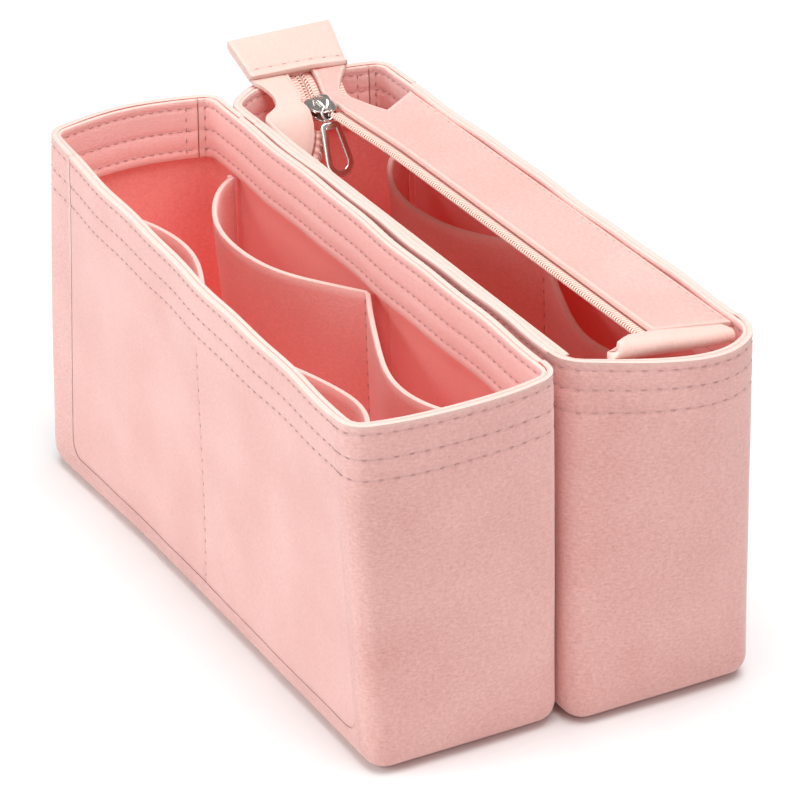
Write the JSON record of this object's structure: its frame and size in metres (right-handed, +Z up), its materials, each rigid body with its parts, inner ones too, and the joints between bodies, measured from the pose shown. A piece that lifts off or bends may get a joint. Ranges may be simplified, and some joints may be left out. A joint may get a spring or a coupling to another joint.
{
  "type": "purse organizer insert",
  "caption": "Soft felt organizer insert for a handbag, a matched pair side by side, with inner pocket strips and a zip cover.",
  "frame": {"origin": "centre of the open insert's flat base, on the surface it stands on", "axes": "+X along the length toward the near end, +Y across toward the zip insert, +Z up"},
  "size_m": [0.3399, 0.1875, 0.1788],
  "materials": {
    "felt": "matte pressed felt, 2.5 mm thick",
    "cover_felt": "matte pressed felt, slightly paler",
    "zip_tape": "woven zip tape",
    "zip_coil": "dyed nylon coil",
    "slider_metal": "polished nickel plate"
  },
  "bodies": {
    "open_insert": {"open_front_panel": "felt", "open_back_panel": "felt", "open_gusset": "felt", "open_rim_band": "felt", "open_front_pockets": "felt", "open_back_pockets": "felt"},
    "zip_insert": {"zip_front_panel": "felt", "zip_back_panel": "felt", "zip_gusset": "felt", "zip_rim_band": "felt", "zip_front_pockets": "felt", "zip_back_pockets": "felt", "far_chain": "zip_coil", "far_left_tape": "zip_tape", "far_right_tape": "zip_tape", "far_left_strip": "cover_felt", "far_right_strip": "cover_felt"},
    "left_flap_body": {"left_flap": "cover_felt", "left_tape": "zip_tape", "left_coil": "zip_coil"},
    "right_flap_body": {"right_flap": "cover_felt", "right_tape": "zip_tape", "right_coil": "zip_coil"},
    "slider": {"slider_body": "slider_metal", "slider_bridge": "slider_metal"},
    "pull": {"pull_ring": "slider_metal", "pull_loop": "slider_metal"},
    "far_tab_body": {"far_tab": "cover_felt"},
    "near_tab_body": {"near_tab": "cover_felt"}
  },
  "joints": [
    {"name": "zip_insert_apart", "type": "slide", "parent": "open_insert", "child": "zip_insert", "axis": [0, 1, 0], "range_m": [0, 0.15]},
    {"name": "left_flap_hinge", "type": "hinge", "parent": "zip_insert", "child": "left_flap_body", "pos_m": [0.004, 0.04895, 0.1622], "axis": [0.9999, 0.0167, 0], "range_deg": [0, 84]},
    {"name": "right_flap_hinge", "type": "hinge", "parent": "zip_insert", "child": "right_flap_body", "pos_m": [0.004, 0.12105, 0.15995], "axis": [-0.9999, -0.0169, 0], "range_deg": [-40, 0]},
    {"name": "slider_run", "type": "slide", "parent": "zip_insert", "child": "slider", "axis": [0.9998, 0, 0.022], "range_m": [0, 0.24]},
    {"name": "pull_hinge", "type": "hinge", "parent": "slider", "child": "pull", "pos_m": [-0.11592, 0.0774, 0.16442], "axis": [-0.1392, -0.9903, -0.0031], "range_deg": [0, 100]},
    {"name": "far_tab_fold", "type": "hinge", "parent": "zip_insert", "child": "far_tab_body", "pos_m": [-0.1459, 0.0805, 0.1693], "axis": [0, 1, 0], "range_deg": [-12, 70]},
    {"name": "near_tab_fold", "type": "hinge", "parent": "right_flap_body", "child": "near_tab_body", "pos_m": [0.1453, 0.094, 0.1652], "axis": [0, -0.996, 0.0898], "range_deg": [0, 60]}
  ],
  "couplings": [
    {"joint": "left_flap_hinge", "follows": "slider_run", "rad_per_m": 6.1086},
    {"joint": "pull_hinge", "follows": "slider_run", "rad_per_m": 7.2721}
  ]
}
